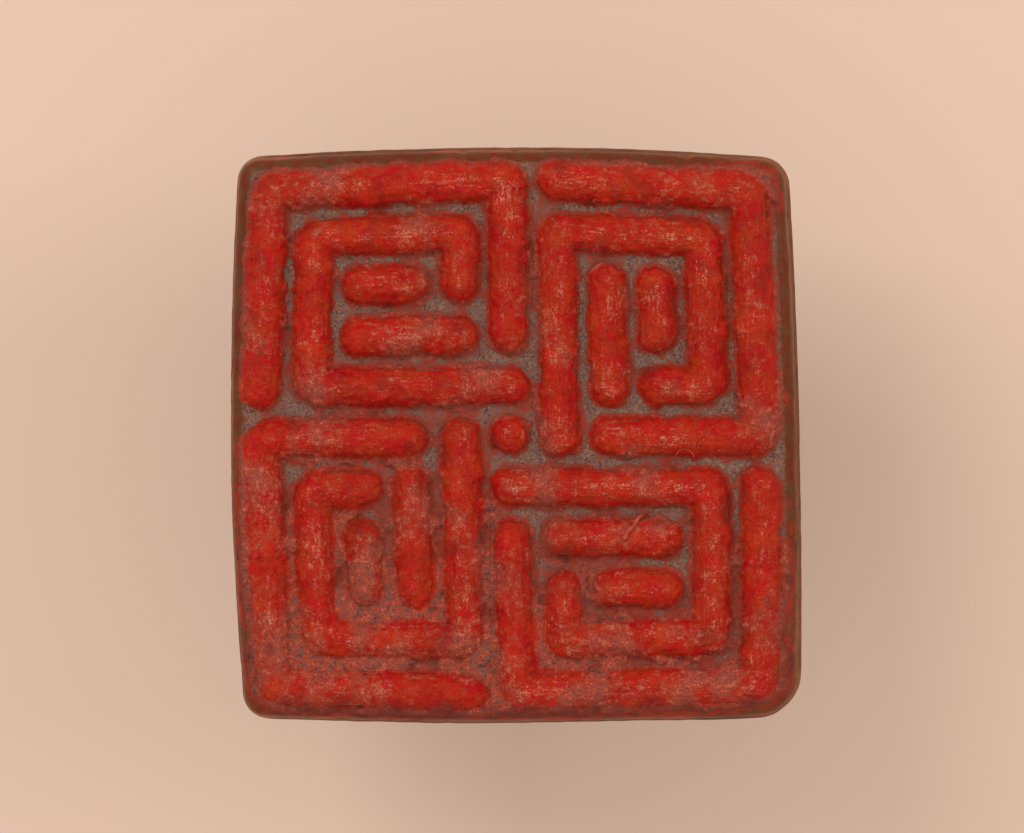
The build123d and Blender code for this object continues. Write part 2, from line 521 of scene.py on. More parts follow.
def braze_material(metal):
    """Brass braze run in with a flame: duller and yellower than bronze, with dark flux scabs."""
    material, add, shader, place = new_material("flame run braze")
    scabs = add("ShaderNodeTexNoise", {
        "Vector": place, "Scale": 1 / (0.5 * MM), "Detail": 4.0, "Roughness": 0.65,
    })
    scab_share = add("ShaderNodeMapRange", {"Value": scabs, "From Min": 0.45, "From Max": 0.62})
    colour = add("ShaderNodeMix", {
        MIX_FACTOR: scab_share, MIX_A: metal.braze_colour, MIX_B: linear("4d3520"),
    }, data_type="RGBA").outputs[MIX_RESULT]
    roughness = add("ShaderNodeMapRange", {"Value": scab_share, "To Min": 0.45, "To Max": 0.75})
    bump = add("ShaderNodeBump", {"Height": scabs, "Strength": 0.6, "Distance": 0.03 * MM})
    feed(shader, {"Base Color": colour, "Metallic": 0.7, "Roughness": roughness, "Normal": bump})
    return material


def strip_bronze_material(metal, paste):
    """Bronze strip cut and bent by hand: dull brown, with old red paste ground into its sides."""
    material, add, shader, place = new_material("hand bent bronze strip")
    rubs = add("ShaderNodeTexNoise", {
        "Vector": place, "Scale": 1 / (0.25 * MM), "Detail": 4.0, "Roughness": 0.7,
    })
    red_share = add("ShaderNodeMapRange", {"Value": rubs, "From Min": 0.38, "From Max": 0.56})
    colour = add("ShaderNodeMix", {
        MIX_FACTOR: red_share, MIX_A: metal.patina_colour, MIX_B: paste.stain_colour,
    }, data_type="RGBA").outputs[MIX_RESULT]
    metal_share = add("ShaderNodeMapRange", {"Value": red_share, "To Min": 0.7, "To Max": 0.1})
    bump = add("ShaderNodeBump", {"Height": rubs, "Strength": 0.6, "Distance": 0.02 * MM})
    feed(shader, {
        "Base Color": colour, "Metallic": metal_share, "Roughness": 0.55, "Normal": bump,
    })
    return material


def dried_paste_material(paste):
    """Ground cinnabar in oil, dabbed on and dried: matt grainy red with pale glints painted as
    highlights.
    """
    material, add, shader, place = new_material("dried cinnabar paste")
    crest, body, pool, way, fade, rim_darkening = [
        add("ShaderNodeAttribute", attribute_name=name).outputs["Fac"]
        for name in ("crest", "body", "pool", "way", "fade", "rim_darkening")
    ]

    # Blotches are a stroke wide, clusters of painted glints half of one and dabs a fifth of one.
    # The pigment's own grain is too fine to show, so it is drawn two pixels wide
    blotches, glint_clusters, dabs, pigment = [
        add("ShaderNodeTexNoise", {
            "Vector": place, "Scale": 1 / (size * MM), "Detail": detail, "Roughness": tooth,
        })
        for size, detail, tooth in (
            (1.1, 3.0, 0.6), (0.55, 2.0, 0.5), (0.22, 3.0, 0.65), (0.065, 2.0, 0.7),
        )
    ]

    # Streaks: the paste's floss combs it into lines that run along each strip, their pale lines
    # partly painted highlight
    streaks = []
    for lengths in ((0.42, 0.07, 0.3), (0.07, 0.42, 0.3)):
        combed = add("ShaderNodeMapping", {
            "Vector": place, "Scale": [1 / (length * MM) for length in lengths],
        })
        streaks.append(add("ShaderNodeTexNoise", {
            "Vector": combed, "Scale": 1.0, "Detail": 2.0, "Roughness": 0.65, "Distortion": 0.3,
        }))
    streaks = add("ShaderNodeMix", {
        MIX_FACTOR: way, MIX_NUMBER_A: streaks[0], MIX_NUMBER_B: streaks[1],
    })

    # Tone: from vivid red on the flanks to lighter, combed red along the crests. Its pale top,
    # pushed up on crests and streaks, is partly dustier paste and partly painted highlight
    tone = -1.0
    for layer, weight in (
        (blotches, 2.0), (dabs, 1.8), (pigment, 2.2), (streaks, 2.2), (crest, 0.4),
    ):
        tone = add("ShaderNodeMath", {0: layer, 1: weight, 2: tone}, operation="MULTIPLY_ADD")
    tone = add("ShaderNodeMapRange", {"Value": tone, "From Min": 2.15, "From Max": 4.65})
    reds = add("ShaderNodeValToRGB", {"Fac": tone})
    stops = reds.color_ramp.elements
    stops[0].color = paste.dark_colour
    stops[1].color = paste.glint_colour
    for position, shade in (
        (0.2, paste.deep_colour),
        (0.42, linear("b4260f")),
        (0.6, paste.crest_colour),
        (0.78, linear("c86048")),
    ):
        stops.new(position).color = shade

    # The red drifts between crimson and orange, and between dark and light, as it was dabbed on
    drift = add("ShaderNodeTexNoise", {
        "Vector": place, "Scale": 1 / (0.7 * MM), "Detail": 4.0, "Roughness": 0.65,
    })
    light = add("ShaderNodeSeparateColor", {0: drift.outputs["Color"]}).outputs["Green"]
    hue, value = [
        add("ShaderNodeMath", {0: layer, 1: reach, 2: lowest}, operation="MULTIPLY_ADD")
        for layer, reach, lowest in ((drift.outputs["Fac"], 0.032, 0.484), (light, 0.9, 0.54))
    ]
    colour = add("ShaderNodeHueSaturation", {"Hue": hue, "Value": value, "Color": reds})

    # Pools: paste and the metal's dirt have mixed, in grains
    mixed = add("ShaderNodeMath", {0: dabs, 1: 1.3, 2: pigment}, operation="MULTIPLY_ADD")
    mixed = add("ShaderNodeMapRange", {"Value": mixed, "From Min": 0.9, "From Max": 1.4})
    mixed_reds = add("ShaderNodeValToRGB", {"Fac": mixed})
    stops = mixed_reds.color_ramp.elements
    stops[0].color = linear("5e4038")
    stops[1].color = linear("c86e54")
    for position, shade in (
        (0.3, linear("84584c")),
        (0.5, paste.pool_colour),
        (0.68, linear("b03e28")),
    ):
        stops.new(position).color = shade
    pooled = pool
    for layer, weight in ((fade, 0.8), (dabs, 1.4)):
        pooled = add("ShaderNodeMath", {0: layer, 1: weight, 2: pooled}, operation="MULTIPLY_ADD")
    pooled = add("ShaderNodeMapRange", {"Value": pooled, "From Min": 1.05, "From Max": 1.5})

    # Pores: painted shade, dark dots where the grain sinks
    pores = add("ShaderNodeMapRange", {
        "Value": pigment, "From Min": 0.455, "From Max": 0.35, "To Max": 0.55,
    })

    # Foot of each flank: low down, near the ground, the paste turns towards the stain colour, in a
    # broken line
    foot = add("ShaderNodeMath", {
        0: dabs, 1: -0.3 * MM, 2: add("ShaderNodeSeparateXYZ", {0: place}).outputs["Z"],
    }, operation="MULTIPLY_ADD")
    foot = add("ShaderNodeMapRange", {
        "Value": foot,
        "From Min": GROUND_LEVEL + 0.06 * MM,
        "From Max": GROUND_LEVEL - 0.1 * MM,
        "To Max": 0.35,
    })

    # Thin edges: the film shows the metal's brown
    thin = add("ShaderNodeMath", {0: dabs, 1: 1.2, 2: 0.4}, operation="MULTIPLY_ADD")
    thin = add("ShaderNodeMath", {0: thin, 1: body}, operation="SUBTRACT", use_clamp=True)

    # Paste on the shoulder and on the face's bottom and right edges is made darker
    rim_darkening = add("ShaderNodeMath", {0: rim_darkening, 1: 0.8}, operation="MULTIPLY")

    # Glints: painted highlights, pale pink specks on crystals and floss ends, in clusters along
    # the crests
    crystal_glints = add("ShaderNodeTexVoronoi", {"Vector": place, "Scale": 1 / (0.06 * MM)})
    glints = crest
    for source, low, high in (
        (crystal_glints.outputs["Color"], 0.66, 0.74),
        (crystal_glints.outputs["Distance"], 0.45, 0.25),
        (glint_clusters, 0.56, 0.68),
    ):
        share = add("ShaderNodeMapRange", {"Value": source, "From Min": low, "From Max": high})
        glints = add("ShaderNodeMath", {0: share, 1: glints}, operation="MULTIPLY")

    for share, shade in (
        (pooled, mixed_reds),
        (pores, paste.dark_colour),
        (foot, paste.stain_colour),
        (thin, paste.stain_colour),
        (rim_darkening, linear("64201a")),
        (glints, paste.glint_colour),
    ):
        colour = add("ShaderNodeMix", {
            MIX_FACTOR: share, MIX_A: colour, MIX_B: shade,
        }, data_type="RGBA").outputs[MIX_RESULT]

    roughness = add("ShaderNodeMapRange", {"Value": glints, "To Min": 0.62, "To Max": 0.3})
    relief = add("ShaderNodeMath", {0: dabs, 1: 0.8, 2: pigment}, operation="MULTIPLY_ADD")
    relief = add("ShaderNodeMath", {0: relief, 1: streaks}, operation="ADD")
    bump = add("ShaderNodeBump", {"Height": relief, "Strength": 0.8, "Distance": 0.02 * MM})
    feed(shader, {
        "Base Color": colour, "Roughness": roughness, "Normal": bump,
        "IOR": 1.47, "Specular IOR Level": 0.12,
    })
    return material


def floss_material():
    """Teased moxa floss soaked in the paste: pinkish threads, paler where the oil dried out."""
    material, add, shader, place = new_material("moxa floss")
    soak = add("ShaderNodeTexNoise", {"Vector": place, "Scale": 1 / (0.3 * MM), "Detail": 2.0})
    soak = add("ShaderNodeMapRange", {"Value": soak, "From Min": 0.4, "From Max": 0.6})
    colour = add("ShaderNodeMix", {
        MIX_FACTOR: soak, MIX_A: linear("a02a18"), MIX_B: linear("bc5038"),
    }, data_type="RGBA").outputs[MIX_RESULT]
    feed(shader, {"Base Color": colour, "Roughness": 0.5})
    return material


def paper_material(studio):
    """Smooth heavy paper: matt and pale, with a barely seen tooth."""
    material, add, shader, place = new_material("matt paper")
    tooth = add("ShaderNodeTexNoise", {"Vector": place, "Scale": 1 / (0.6 * MM), "Detail": 3.0})
    bump = add("ShaderNodeBump", {"Height": tooth, "Strength": 0.2, "Distance": 0.02 * MM})
    feed(shader, {"Base Color": studio.floor_colour, "Roughness": 0.85, "Normal": bump})
    return material


def seal_piece(name, bm, material, slot, *nodes):
    """Makes a bmesh a piece of the seal, which stands for CAD nodes if any are named."""
    for face in bm.faces:
        face.smooth = True
    mesh = bpy.data.meshes.new(name)
    bm.to_mesh(mesh)
    bm.free()
    mesh.materials.append(material)
    piece = bpy.data.objects.new(name, mesh)
    bpy.context.scene.collection.objects.link(piece)
    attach(piece, "root")
    if nodes:
        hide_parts(*nodes)


def even_copy(node, mesh_step):
    """A copy of a CAD node's shape as a bmesh of small even faces, with its edges softened."""
    bm = bmesh.new()
    bm.from_mesh(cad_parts[node].data)
    bmesh.ops.remove_doubles(bm, verts=bm.verts, dist=SAME_PLACE)
    mesh = bpy.data.meshes.new("even copy")
    bm.to_mesh(mesh)
    bm.free()
    helper = bpy.data.objects.new("even copy", mesh)
    bpy.context.scene.collection.objects.link(helper)
    remesh = helper.modifiers.new("even faces", "REMESH")
    remesh.mode = "VOXEL"
    remesh.voxel_size = mesh_step
    even = helper.evaluated_get(bpy.context.evaluated_depsgraph_get()).to_mesh()
    bm = bmesh.new()
    bm.from_mesh(even)
    bpy.data.objects.remove(helper)
    bpy.data.meshes.remove(mesh)
    for _ in range(SOFTENING_PASSES):
        bmesh.ops.smooth_vert(
            bm, verts=bm.verts, factor=0.5, use_axis_x=True, use_axis_y=True, use_axis_z=True
        )
    bm.normal_update()
    return bm


def search_tree(meshes, wanted):
    """A search tree of the wanted faces of some meshes."""
    corners = []
    faces = []
    for mesh in meshes:
        for polygon in mesh.polygons:
            if wanted(polygon):
                faces.append(range(len(corners), len(corners) + len(polygon.vertices)))
                corners.extend(mesh.vertices[index].co for index in polygon.vertices)
    return BVHTree.FromPolygons(corners, faces)


def level_under(surface, x, y):
    """The level of a search tree's faces under a place, or None past their edge."""
    hit = surface.ray_cast(Vector((x, y, PASTE_LEVEL + MM)), Vector((0, 0, -1)))[0]
    return hit.z if hit else None


class PasteBed:
    """The metal under the paste, as search trees of the block, the strips and their sides."""

    def __init__(self, block_mesh):
        strips = [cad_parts[node].data for node in STRIP_NODES]
        # A strip's sides are upright, and its crown and eased edges face up
        self.sides = search_tree(strips, lambda polygon: abs(polygon.normal.z) < 0.1)
        self.strips = search_tree(strips, lambda polygon: polygon.normal.z > 0.1)
        self.block = search_tree([block_mesh], lambda polygon: polygon.normal.z > 0)

    def nearest_side(self, x, y, on_strip):
        """How far off a strip's nearest side is, below zero on a strip, and which way it runs.

        The way is 0 where the strip runs along X and 1 where it runs along Y.
        """
        place = Vector((x, y, GROUND_LEVEL + 0.1 * MM))
        _, normal, _, away = self.sides.find_nearest(place)
        return (-away if on_strip else away), normal.x * normal.x


def ease(value, low, high):
    """Rises smoothly from 0 to 1 as a value goes from low to high."""
    share = max(min((value - low) / (high - low), 1), 0)
    return share * share * (3 - 2 * share)


def roughened(amount, x, y, layers):
    """An amount with layers of noise added: each one's share, size in millimetres and seed."""
    for share, size, seed in layers:
        place = Vector((x, y, 0)) / (size * MM) + Vector((seed, 2 * seed, 3 * seed))
        amount += share * noise.noise(place)
    return amount


def gathered(x, y, shares):
    """The sum at a place of soft round patches, each with its place, reach and amount."""
    amount = 0
    for patch_x, patch_y, reach, depth in shares:
        away_x = (x / BLOCK_HIGH.x - patch_x) / reach
        away_y = (y / BLOCK_HIGH.y - patch_y) / reach
        amount += depth * math.exp(-away_x * away_x - away_y * away_y)
    return amount


def fading(x, y):
    """How thin and dirty the paste on the strips is round a place, from 0 to 1."""
    amount = roughened(gathered(x, y, PASTE_FADE_SHARES) + 0.16, x, y, FADE_NOISE)
    return max(min(amount, 1), 0)


def pooling(x, y):
    """How much paste gathers round a place: below zero is wiped ground, 1 a full channel."""
    return roughened(gathered(x, y, PASTE_POOL_SHARES) - 0.4, x, y, POOL_NOISE)


def edge_darkening(x, y):
    """How much darker the face's bottom edge and lower right corner are made, from 0 to 1."""
    share_x, share_y = x / BLOCK_HIGH.x, y / BLOCK_HIGH.y
    # The right side counts more and more towards the bottom
    edge = max(-share_y, share_x * ease(-share_y, 0.2, 0.7))
    return ease(roughened(edge, x, y, EDGE_DARKENING_NOISE), 0.88, 0.97)


def cast_wear(place, metal):
    """How far a cast face stands proud at a place: slow swells, fine tooth and the odd pore."""
    swell = noise.noise(place / SWELL_SIZE) * metal.swell_height
    tooth = noise.noise(place / TOOTH_SIZE) * metal.swell_height * TOOTH_SHARE
    # A pore opens only where its noise is high, and is deepest a little further in
    pore = max(noise.noise(place / PORE_SIZE + Vector((7, 3, 5))) - 0.38, 0) / 0.3
    return swell + tooth - min(pore, 1) * metal.pit_depth


def mark_wear(bm, middle):
    """Marks each vertex with how much handling has rubbed it: edges most, hollows least."""
    wear = bm.verts.layers.float.new("wear")
    rings = {v: [v] + [edge.other_vert(v) for edge in v.link_edges] for v in bm.verts}
    bends = {v: sum(edge.calc_face_angle_signed(0) for edge in v.link_edges) for v in bm.verts}
    for _ in range(WEAR_SPREADS):
        bends = {v: sum(bends[other] for other in ring) / len(ring) for v, ring in rings.items()}
    for vertex in bm.verts:
        outward = (vertex.co - middle).normalized().dot(vertex.normal)
        rubbed = bends[vertex] * BEND_WEAR + OUTWARD_WEAR * outward
        vertex[wear] = max(min(rubbed, MOST_WEAR), LEAST_WEAR)


def wear_block(metal, paste):
    """The block as a casting softened by wear, which knows where paste has stained it."""
    bm = even_copy("seal_block", metal.block_mesh_step)
    mark_wear(bm, Vector((0, 0, (GROUND_LEVEL + BACK_LEVEL) / 2)))
    stain = bm.verts.layers.float.new("stain")
    drop = bm.verts.layers.float.new("drop")
    bed = PasteBed(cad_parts["seal_block"].data)
    for vertex in bm.verts:
        fall = GROUND_LEVEL - vertex.co.z
        # The edge darkening counts as a small drop, which gives the face's bottom and right edges
        # the shoulder's maroon
        vertex[drop] = max(min(fall / MM, 1), 0.2 * edge_darkening(vertex.co.x, vertex.co.y))
        vertex.co += vertex.normal * cast_wear(vertex.co, metal)
        x, y = vertex.co.xy
        if fall < FACE_DEPTH:
            # The face is stained near the strips and where paste has pooled, less on the shoulder
            distance, _ = bed.nearest_side(x, y, level_under(bed.strips, x, y) is not None)
            near = 1 - ease(distance, *HALO_REACH)
            hold = STAIN_HOLD_BELOW if y < 0 else STAIN_HOLD_ABOVE
            soak = 0.4 * near + 0.45 + pooling(x, y) - fall / hold
        else:
            # The sides have a few drips, fewer lower down
            drip = noise.noise(vertex.co / DRIP_SIZE + Vector((4, 4, 4)))
            soak = 0.1 + 1.3 * drip - 0.4 * fall / MM
        vertex[stain] = max(min(soak, 1), 0)
    seal_piece("worn_block", bm, cast_bronze_material(metal, paste), "cast_bronze", "seal_block")


def wear_knob(metal):
    """The knob as a casting polished by handling, brightest on its edges and its end."""
    bm = even_copy("knob", metal.knob_mesh_step)
    mark_wear(bm, Vector((0, 0, BACK_LEVEL / 2)))
    for vertex in bm.verts:
        # Its casting marks are not the block's, and its end is rubbed flat where the seal stands
        vertex.co += vertex.normal * cast_wear(vertex.co + Vector((0.01, 0, 0)), metal)
        vertex.co.z = max(vertex.co.z, 0)
    seal_piece("worn_knob", bm, handled_bronze_material(metal), "handled_bronze", "knob")


def run_braze(metal):
    """The braze bead, lumpy where it ran and froze."""
    bm = even_copy("knob_braze", metal.braze_mesh_step)
    for vertex in bm.verts:
        # Lumps are as wide as the bead, with ripples on them
        lump = noise.noise(vertex.co / (0.7 * MM)) * 0.12 * MM
        ripple = noise.noise(vertex.co / (0.2 * MM)) * 0.03 * MM
        vertex.co += vertex.normal * (lump + ripple)
    seal_piece("braze_bead", bm, braze_material(metal), "braze", "knob_braze")


def paste_rise(x, y, distance, fall, paste):
    """How high the paste stands over the ground, which has fallen away by so much on the shoulder.

    Below zero the metal is bare.
    """
    edge = roughened(distance, x, y, ((paste.wander, 0.75, 4), (paste.fray, 0.17, 5)))
    if distance < 0:
        # On a strip, the coat's edge strays at most half of the way in
        edge = min(edge, 0.5 * distance)
    if edge < 0:
        # The crown is domed, unevenly
        depth = min(-edge / STRIP_HALF_WIDTH * roughened(1, x, y, CROWN_NOISE), 1)
        ridge = paste.rim_rise + (paste.crown_rise - paste.rim_rise) * (1 - (1 - depth) ** 2)
    else:
        # The skirt is hollow, and past its foot it sinks into the metal
        lean = edge / paste.overhang
        ridge = paste.rim_rise * (1 - lean) ** 1.9 if lean < 1 else -PASTE_SINK * min(lean - 1, 2)

    # Pools thin out on the shoulder, and hang on longest at the bottom of the face
    hold = PASTE_HOLD_BELOW if y < 0 else PASTE_HOLD_ABOVE
    pool = ease(pooling(x, y) - fall / hold, 0, 0.55) * paste.pool_depth - PASTE_SINK

    # The two surfaces meet in a small fillet
    near = max(PASTE_FILLET - abs(ridge - pool), 0) / PASTE_FILLET
    rise = max(ridge, pool) + near * near * PASTE_FILLET / 4
    if rise > 0:
        shown = min(rise / TEXTURE_BODY, 1)
        lumps = shown * paste.lump_height
        grain = shown * paste.grain_height
        rise = roughened(rise, x, y, (
            (lumps, 1.1, 10), (lumps, 0.42, 6), (lumps * 0.6, 0.19, 7), (grain, 0.09, 8),
        ))
    return rise


def coat_panel(panel, territory, bed, paste, material):
    """A closed coat of paste over one panel, on a grid that all the coats share."""
    step = paste.mesh_step
    first_x, last_x, first_y, last_y = [round(side / step) for side in territory]
    half = Vector((last_x - first_x, last_y - first_y)) * step / 2
    middle = Vector((first_x + last_x, first_y + last_y, 0)) * step / 2
    bm = bmesh.new()
    bmesh.ops.create_grid(
        bm,
        x_segments=last_x - first_x,
        y_segments=last_y - first_y,
        size=1,
        matrix=Matrix.Translation(middle) @ Matrix.Diagonal((half.x, half.y, 1, 1)),
    )
    layers = bm.verts.layers.float
    names = ("bed", "top", "bottom", "crest", "body", "pool", "way", "fade", "rim_darkening")
    for name in names:
        layers.new(name)
    bed_level, top, bottom, crest, body, pool, way, fade, rim_darkening = [layers[name] for name in names]

    # What each place on the grid knows of the metal below it and of the paste on it
    for vertex in bm.verts:
        x, y = vertex.co.xy
        block = level_under(bed.block, x, y)
        strip = level_under(bed.strips, x, y)
        if block is None:
            vertex[bed_level] = 0
            continue
        vertex[bed_level] = block if strip is None else strip
        distance, vertex[way] = bed.nearest_side(x, y, strip is not None)
        fall = max(GROUND_LEVEL - block, 0)
        vertex[top] = GROUND_LEVEL - fall + paste_rise(x, y, distance, fall, paste)
        if strip is not None:
            vertex[top] = max(vertex[top], strip + PASTE_BODY)
        vertex[crest] = max(min(-distance / STRIP_HALF_WIDTH, 1), 0)
        vertex[pool] = max(min(distance / POOL_REACH, 1), 0)
        vertex[fade] = fading(x, y)
        vertex[rim_darkening] = max(min(fall / RIM_DARKENING_DEPTH, 1), 0.9 * edge_darkening(x, y))

    # The mesh ends on the shoulder of the block
    outside = [
        face for face in bm.faces
        if min(vertex[bed_level] for vertex in face.verts) < MESH_END_LEVEL
    ]
    bmesh.ops.delete(bm, geom=outside, context="FACES")

    # Where no paste lies, the coat's mesh sinks into the metal, as its underside does everywhere
    for vertex in bm.verts:
        ring = {corner for face in vertex.link_faces for corner in face.verts}
        lowest = min(corner[bed_level] for corner in ring)
        vertex[bottom] = lowest - 2 * PASTE_SINK
        thickness = vertex[top] - vertex[bed_level]
        if thickness < THINNEST_PASTE or vertex[bed_level] < COAT_END_LEVEL:
            vertex[top] = lowest - PASTE_SINK
            thickness = 0
        vertex[body] = max(min(thickness / PASTE_BODY, 1), 0)

    # The grid becomes the coat's underside, and a copy of it, walled to it, the coat's top
    raised = bmesh.ops.extrude_face_region(bm, geom=bm.faces[:])["geom"]
    for vertex in bm.verts:
        vertex.co.z = vertex[bottom]
    for part in raised:
        if isinstance(part, bmesh.types.BMVert):
            part.co.z = part[top]
    for name in ("bed", "top", "bottom"):
        layers.remove(layers[name])
    bm.normal_update()
    seal_piece(f"{panel}_paste_coat", bm, material, "seal_paste", f"{panel}_paste")


def seam_places():
    """The four lines, midway between the panels' strips, where the panels' coats meet."""
    low, high = {}, {}
    for panel in PANELS:
        boxes = [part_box(f"{panel}_{strip}") for strip in STRIPS]
        low[panel] = [min(box[0][axis] for box in boxes) for axis in (0, 1)]
        high[panel] = [max(box[1][axis] for box in boxes) for axis in (0, 1)]
    top = (high["upper_left"][0] + low["upper_right"][0]) / 2
    right = (low["upper_right"][1] + high["lower_right"][1]) / 2
    bottom = (low["lower_right"][0] + high["lower_left"][0]) / 2
    left = (high["lower_left"][1] + low["upper_left"][1]) / 2
    return top, right, bottom, left


def spread_paste(paste):
    """The five coats of paste, one on each panel and one on the middle boss."""
    bed = PasteBed(bpy.data.objects["worn_block"].data)
    material = dried_paste_material(paste)
    top, right, bottom, left = seam_places()
    west, south = BLOCK_LOW.xy
    east, north = BLOCK_HIGH.xy
    territories = {
        "upper_left": (west, top, left, north),
        "upper_right": (top, east, right, north),
        "lower_right": (bottom, east, south, right),
        "lower_left": (west, bottom, south, left),
        "middle": (bottom, top, right, left),
    }
    for panel, territory in territories.items():
        coat_panel(panel, territory, bed, paste, material)


def lay_thread(bm, points, radius):
    """Adds a round thread through points, as a ring drawn from one to the next that tapers."""
    heading = (points[1] - points[0]).normalized()
    turn = heading.to_track_quat("Z", "Y").to_matrix().to_4x4()
    ring = bmesh.ops.create_circle(
        bm, cap_ends=True, segments=6, radius=radius, matrix=Matrix.Translation(points[0]) @ turn
    )
    face = ring["verts"][0].link_faces[0]
    shrink = THREAD_TAPER ** (1 / (len(points) - 1))
    for here, there in zip(points, points[1:]):
        new_heading = (there - here).normalized()
        last_face = face
        extruded = bmesh.ops.extrude_face_region(bm, geom=[face])["geom"]
        face = next(part for part in extruded if isinstance(part, bmesh.types.BMFace))
        # Only the thread's ends keep their faces
        if here is not points[0]:
            bmesh.ops.delete(bm, geom=[last_face], context="FACES_ONLY")
        bmesh.ops.translate(bm, verts=face.verts[:], vec=there - here)
        swing = heading.rotation_difference(new_heading).to_matrix()
        bmesh.ops.rotate(bm, verts=face.verts[:], cent=there, matrix=swing)
        bmesh.ops.scale(
            bm,
            verts=face.verts[:],
            vec=Vector((shrink, shrink, shrink)),
            space=Matrix.Translation(-there),
        )
        heading = new_heading


def drape(outline, surface, lift):
    """Lays a line of places on the paste, bridging a channel as a stiff strand does."""
    levels = []
    for x, y in outline:
        level = level_under(surface, x, y)
        levels.append(GROUND_LEVEL if level is None else max(level, GROUND_LEVEL))
    # Each point hangs from the highest within two of it, eased between its neighbours
    bridged = [max(levels[max(i - 2, 0):i + 3]) for i in range(len(levels))]
    points = []
    for i, (x, y) in enumerate(outline):
        near = bridged[max(i - 1, 0):i + 2]
        points.append(Vector((x, y, sum(near) / len(near) + lift)))
    return points


def lay_floss(paste):
    """Loose threads of floss that the paste was mixed with, lying on the strips."""
    coats = [bpy.data.objects[f"{panel}_paste_coat"].data for panel in PANELS]
    surface = search_tree(coats, lambda polygon: polygon.normal.z > 0)
    chance = random.Random(FLOSS_SEED)
    bm = bmesh.new()

    # Short threads, partly sunk in the paste, which end where they would leave a strip
    lift = Vector((0, 0, 0.4 * paste.thread_radius))
    for _ in range(FLOSS_THREADS):
        x = chance.uniform(-0.9, 0.9) * BLOCK_HIGH.x
        y = chance.uniform(-0.9, 0.9) * BLOCK_HIGH.y
        heading = chance.uniform(0, math.tau)
        curl = chance.uniform(-0.5, 0.5)
        stride = chance.uniform(0.06, 0.13) * MM
        points = []
        for _ in range(chance.randint(5, 10)):
            level = level_under(surface, x, y)
            if level is None or level < CROWN_LEVEL - 0.25 * MM:
                break
            points.append(Vector((x, y, level)) + lift)
            x += math.cos(heading) * stride
            y += math.sin(heading) * stride
            heading += curl * chance.uniform(0.5, 1.2)
        if len(points) > 3:
            lay_thread(bm, points, paste.thread_radius * chance.uniform(0.7, 1.3))

    # Two small loops of floss, nearly closed
    turns = [math.tau * step / 22 for step in range(20)]
    for loop_x, loop_y, radius in FLOSS_LOOPS:
        loop = [
            (loop_x + radius * math.cos(turn), loop_y + radius * math.sin(turn))
            for turn in turns
        ]
        outline = [(x * MM, y * MM) for x, y in loop]
        points = drape(outline, surface, 0.5 * paste.thread_radius)
        lay_thread(bm, points, 1.6 * paste.thread_radius)

    # A strand of paste drawn out between two strips, which sways a little
    start, end = [Vector(place) for place in STRAND_ENDS]
    across = (end - start).orthogonal().normalized()
    strand = []
    for step in range(15):
        share = step / 14
        sway = 0.07 * math.sin(math.pi * share) + 0.025 * math.sin(11 * share)
        strand.append(tuple((start.lerp(end, share) + across * sway) * MM))
    lay_thread(bm, drape(strand, surface, 0), 8.5 * paste.thread_radius)
    bmesh.ops.recalc_face_normals(bm, faces=bm.faces)
    seal_piece("floss_threads", bm, floss_material(), "seal_paste")


def aim(thing, target):
    """Turns a lamp or a camera to look at a place, with +Y up in its view."""
    back = (thing.location - target).normalized()
    right = Vector((0, 1, 0)).cross(back).normalized()
    thing.rotation_euler = Matrix((right, back.cross(right), back)).transposed().to_euler()


def soft_lamp(name, direction, share, size, studio):
    """A square lamp that gives a surface that faces it a share of full light."""
    lamp = bpy.data.lights.new(name, "AREA")
    lamp.shape = "SQUARE"
    lamp.size = size
    # A white surface that faces it shows its energy over the square of pi times the distance
    lamp.energy = share * math.pi * math.pi * studio.lamp_distance ** 2
    thing = bpy.data.objects.new(name, lamp)
    thing.location = Vector((0, 0, GROUND_LEVEL)) + direction.normalized() * studio.lamp_distance
    aim(thing, Vector((0, 0, GROUND_LEVEL)))
    bpy.context.scene.collection.objects.link(thing)


def set_room_light(studio):
    """Even light from all round, which the camera and the metal see as the paper's colour."""
    world = bpy.data.worlds.new("plain room")
    world.use_nodes = True
    world.node_tree.nodes.clear()
    add = partial(add_node, world.node_tree)
    rays = add("ShaderNodeLightPath").outputs
    seen = rays["Is Camera Ray"]
    for kind in ("Is Glossy Ray", "Is Transmission Ray"):
        seen = add("ShaderNodeMath", {0: seen, 1: rays[kind]}, operation="MAXIMUM")
    light, backdrop = [
        add("ShaderNodeBackground", {"Color": colour, "Strength": strength})
        for colour, strength in ((linear("fff8f2"), studio.sky_share), (studio.floor_colour, 1.0))
    ]
    both = add("ShaderNodeMixShader", {0: seen, 1: light, 2: backdrop})
    add("ShaderNodeOutputWorld", {0: both})
    bpy.context.scene.world = world


def build_stage(studio):
    """The paper, the two soft lamps, the room light and the camera over the seal's face."""
    bm = bmesh.new()
    bmesh.ops.create_grid(bm, x_segments=1, y_segments=1, size=studio.floor_size / 2)
    mesh = bpy.data.meshes.new("floor")
    bm.to_mesh(mesh)
    bm.free()
    mesh.materials.append(paper_material(studio))
    floor = bpy.data.objects.new("floor", mesh)
    bpy.context.scene.collection.objects.link(floor)

    # The main lamp stands at the photograph's upper left, the weaker one at its right
    soft_lamp("key_lamp", Vector((-0.55, 0.6, 1.0)), studio.key_share, 160 * MM, studio)
    soft_lamp("side_lamp", Vector((0.9, 0.25, 0.8)), studio.side_share, 140 * MM, studio)
    set_room_light(studio)

    # The camera looks down at the face a touch from the right, as in the photograph
    camera = bpy.data.cameras.new("camera")
    camera.lens = studio.lens
    camera.clip_start = MM
    distance = studio.lens / camera.sensor_width * studio.field_width
    target = Vector((-0.04, 0.6, 0)) * MM + Vector((0, 0, GROUND_LEVEL))
    thing = bpy.data.objects.new("camera", camera)
    thing.location = target + Vector((0.03, 0.008, 1)).normalized() * distance
    aim(thing, target)
    bpy.context.scene.collection.objects.link(thing)
    bpy.context.scene.camera = thing
    bpy.context.scene.view_settings.view_transform = "Standard"


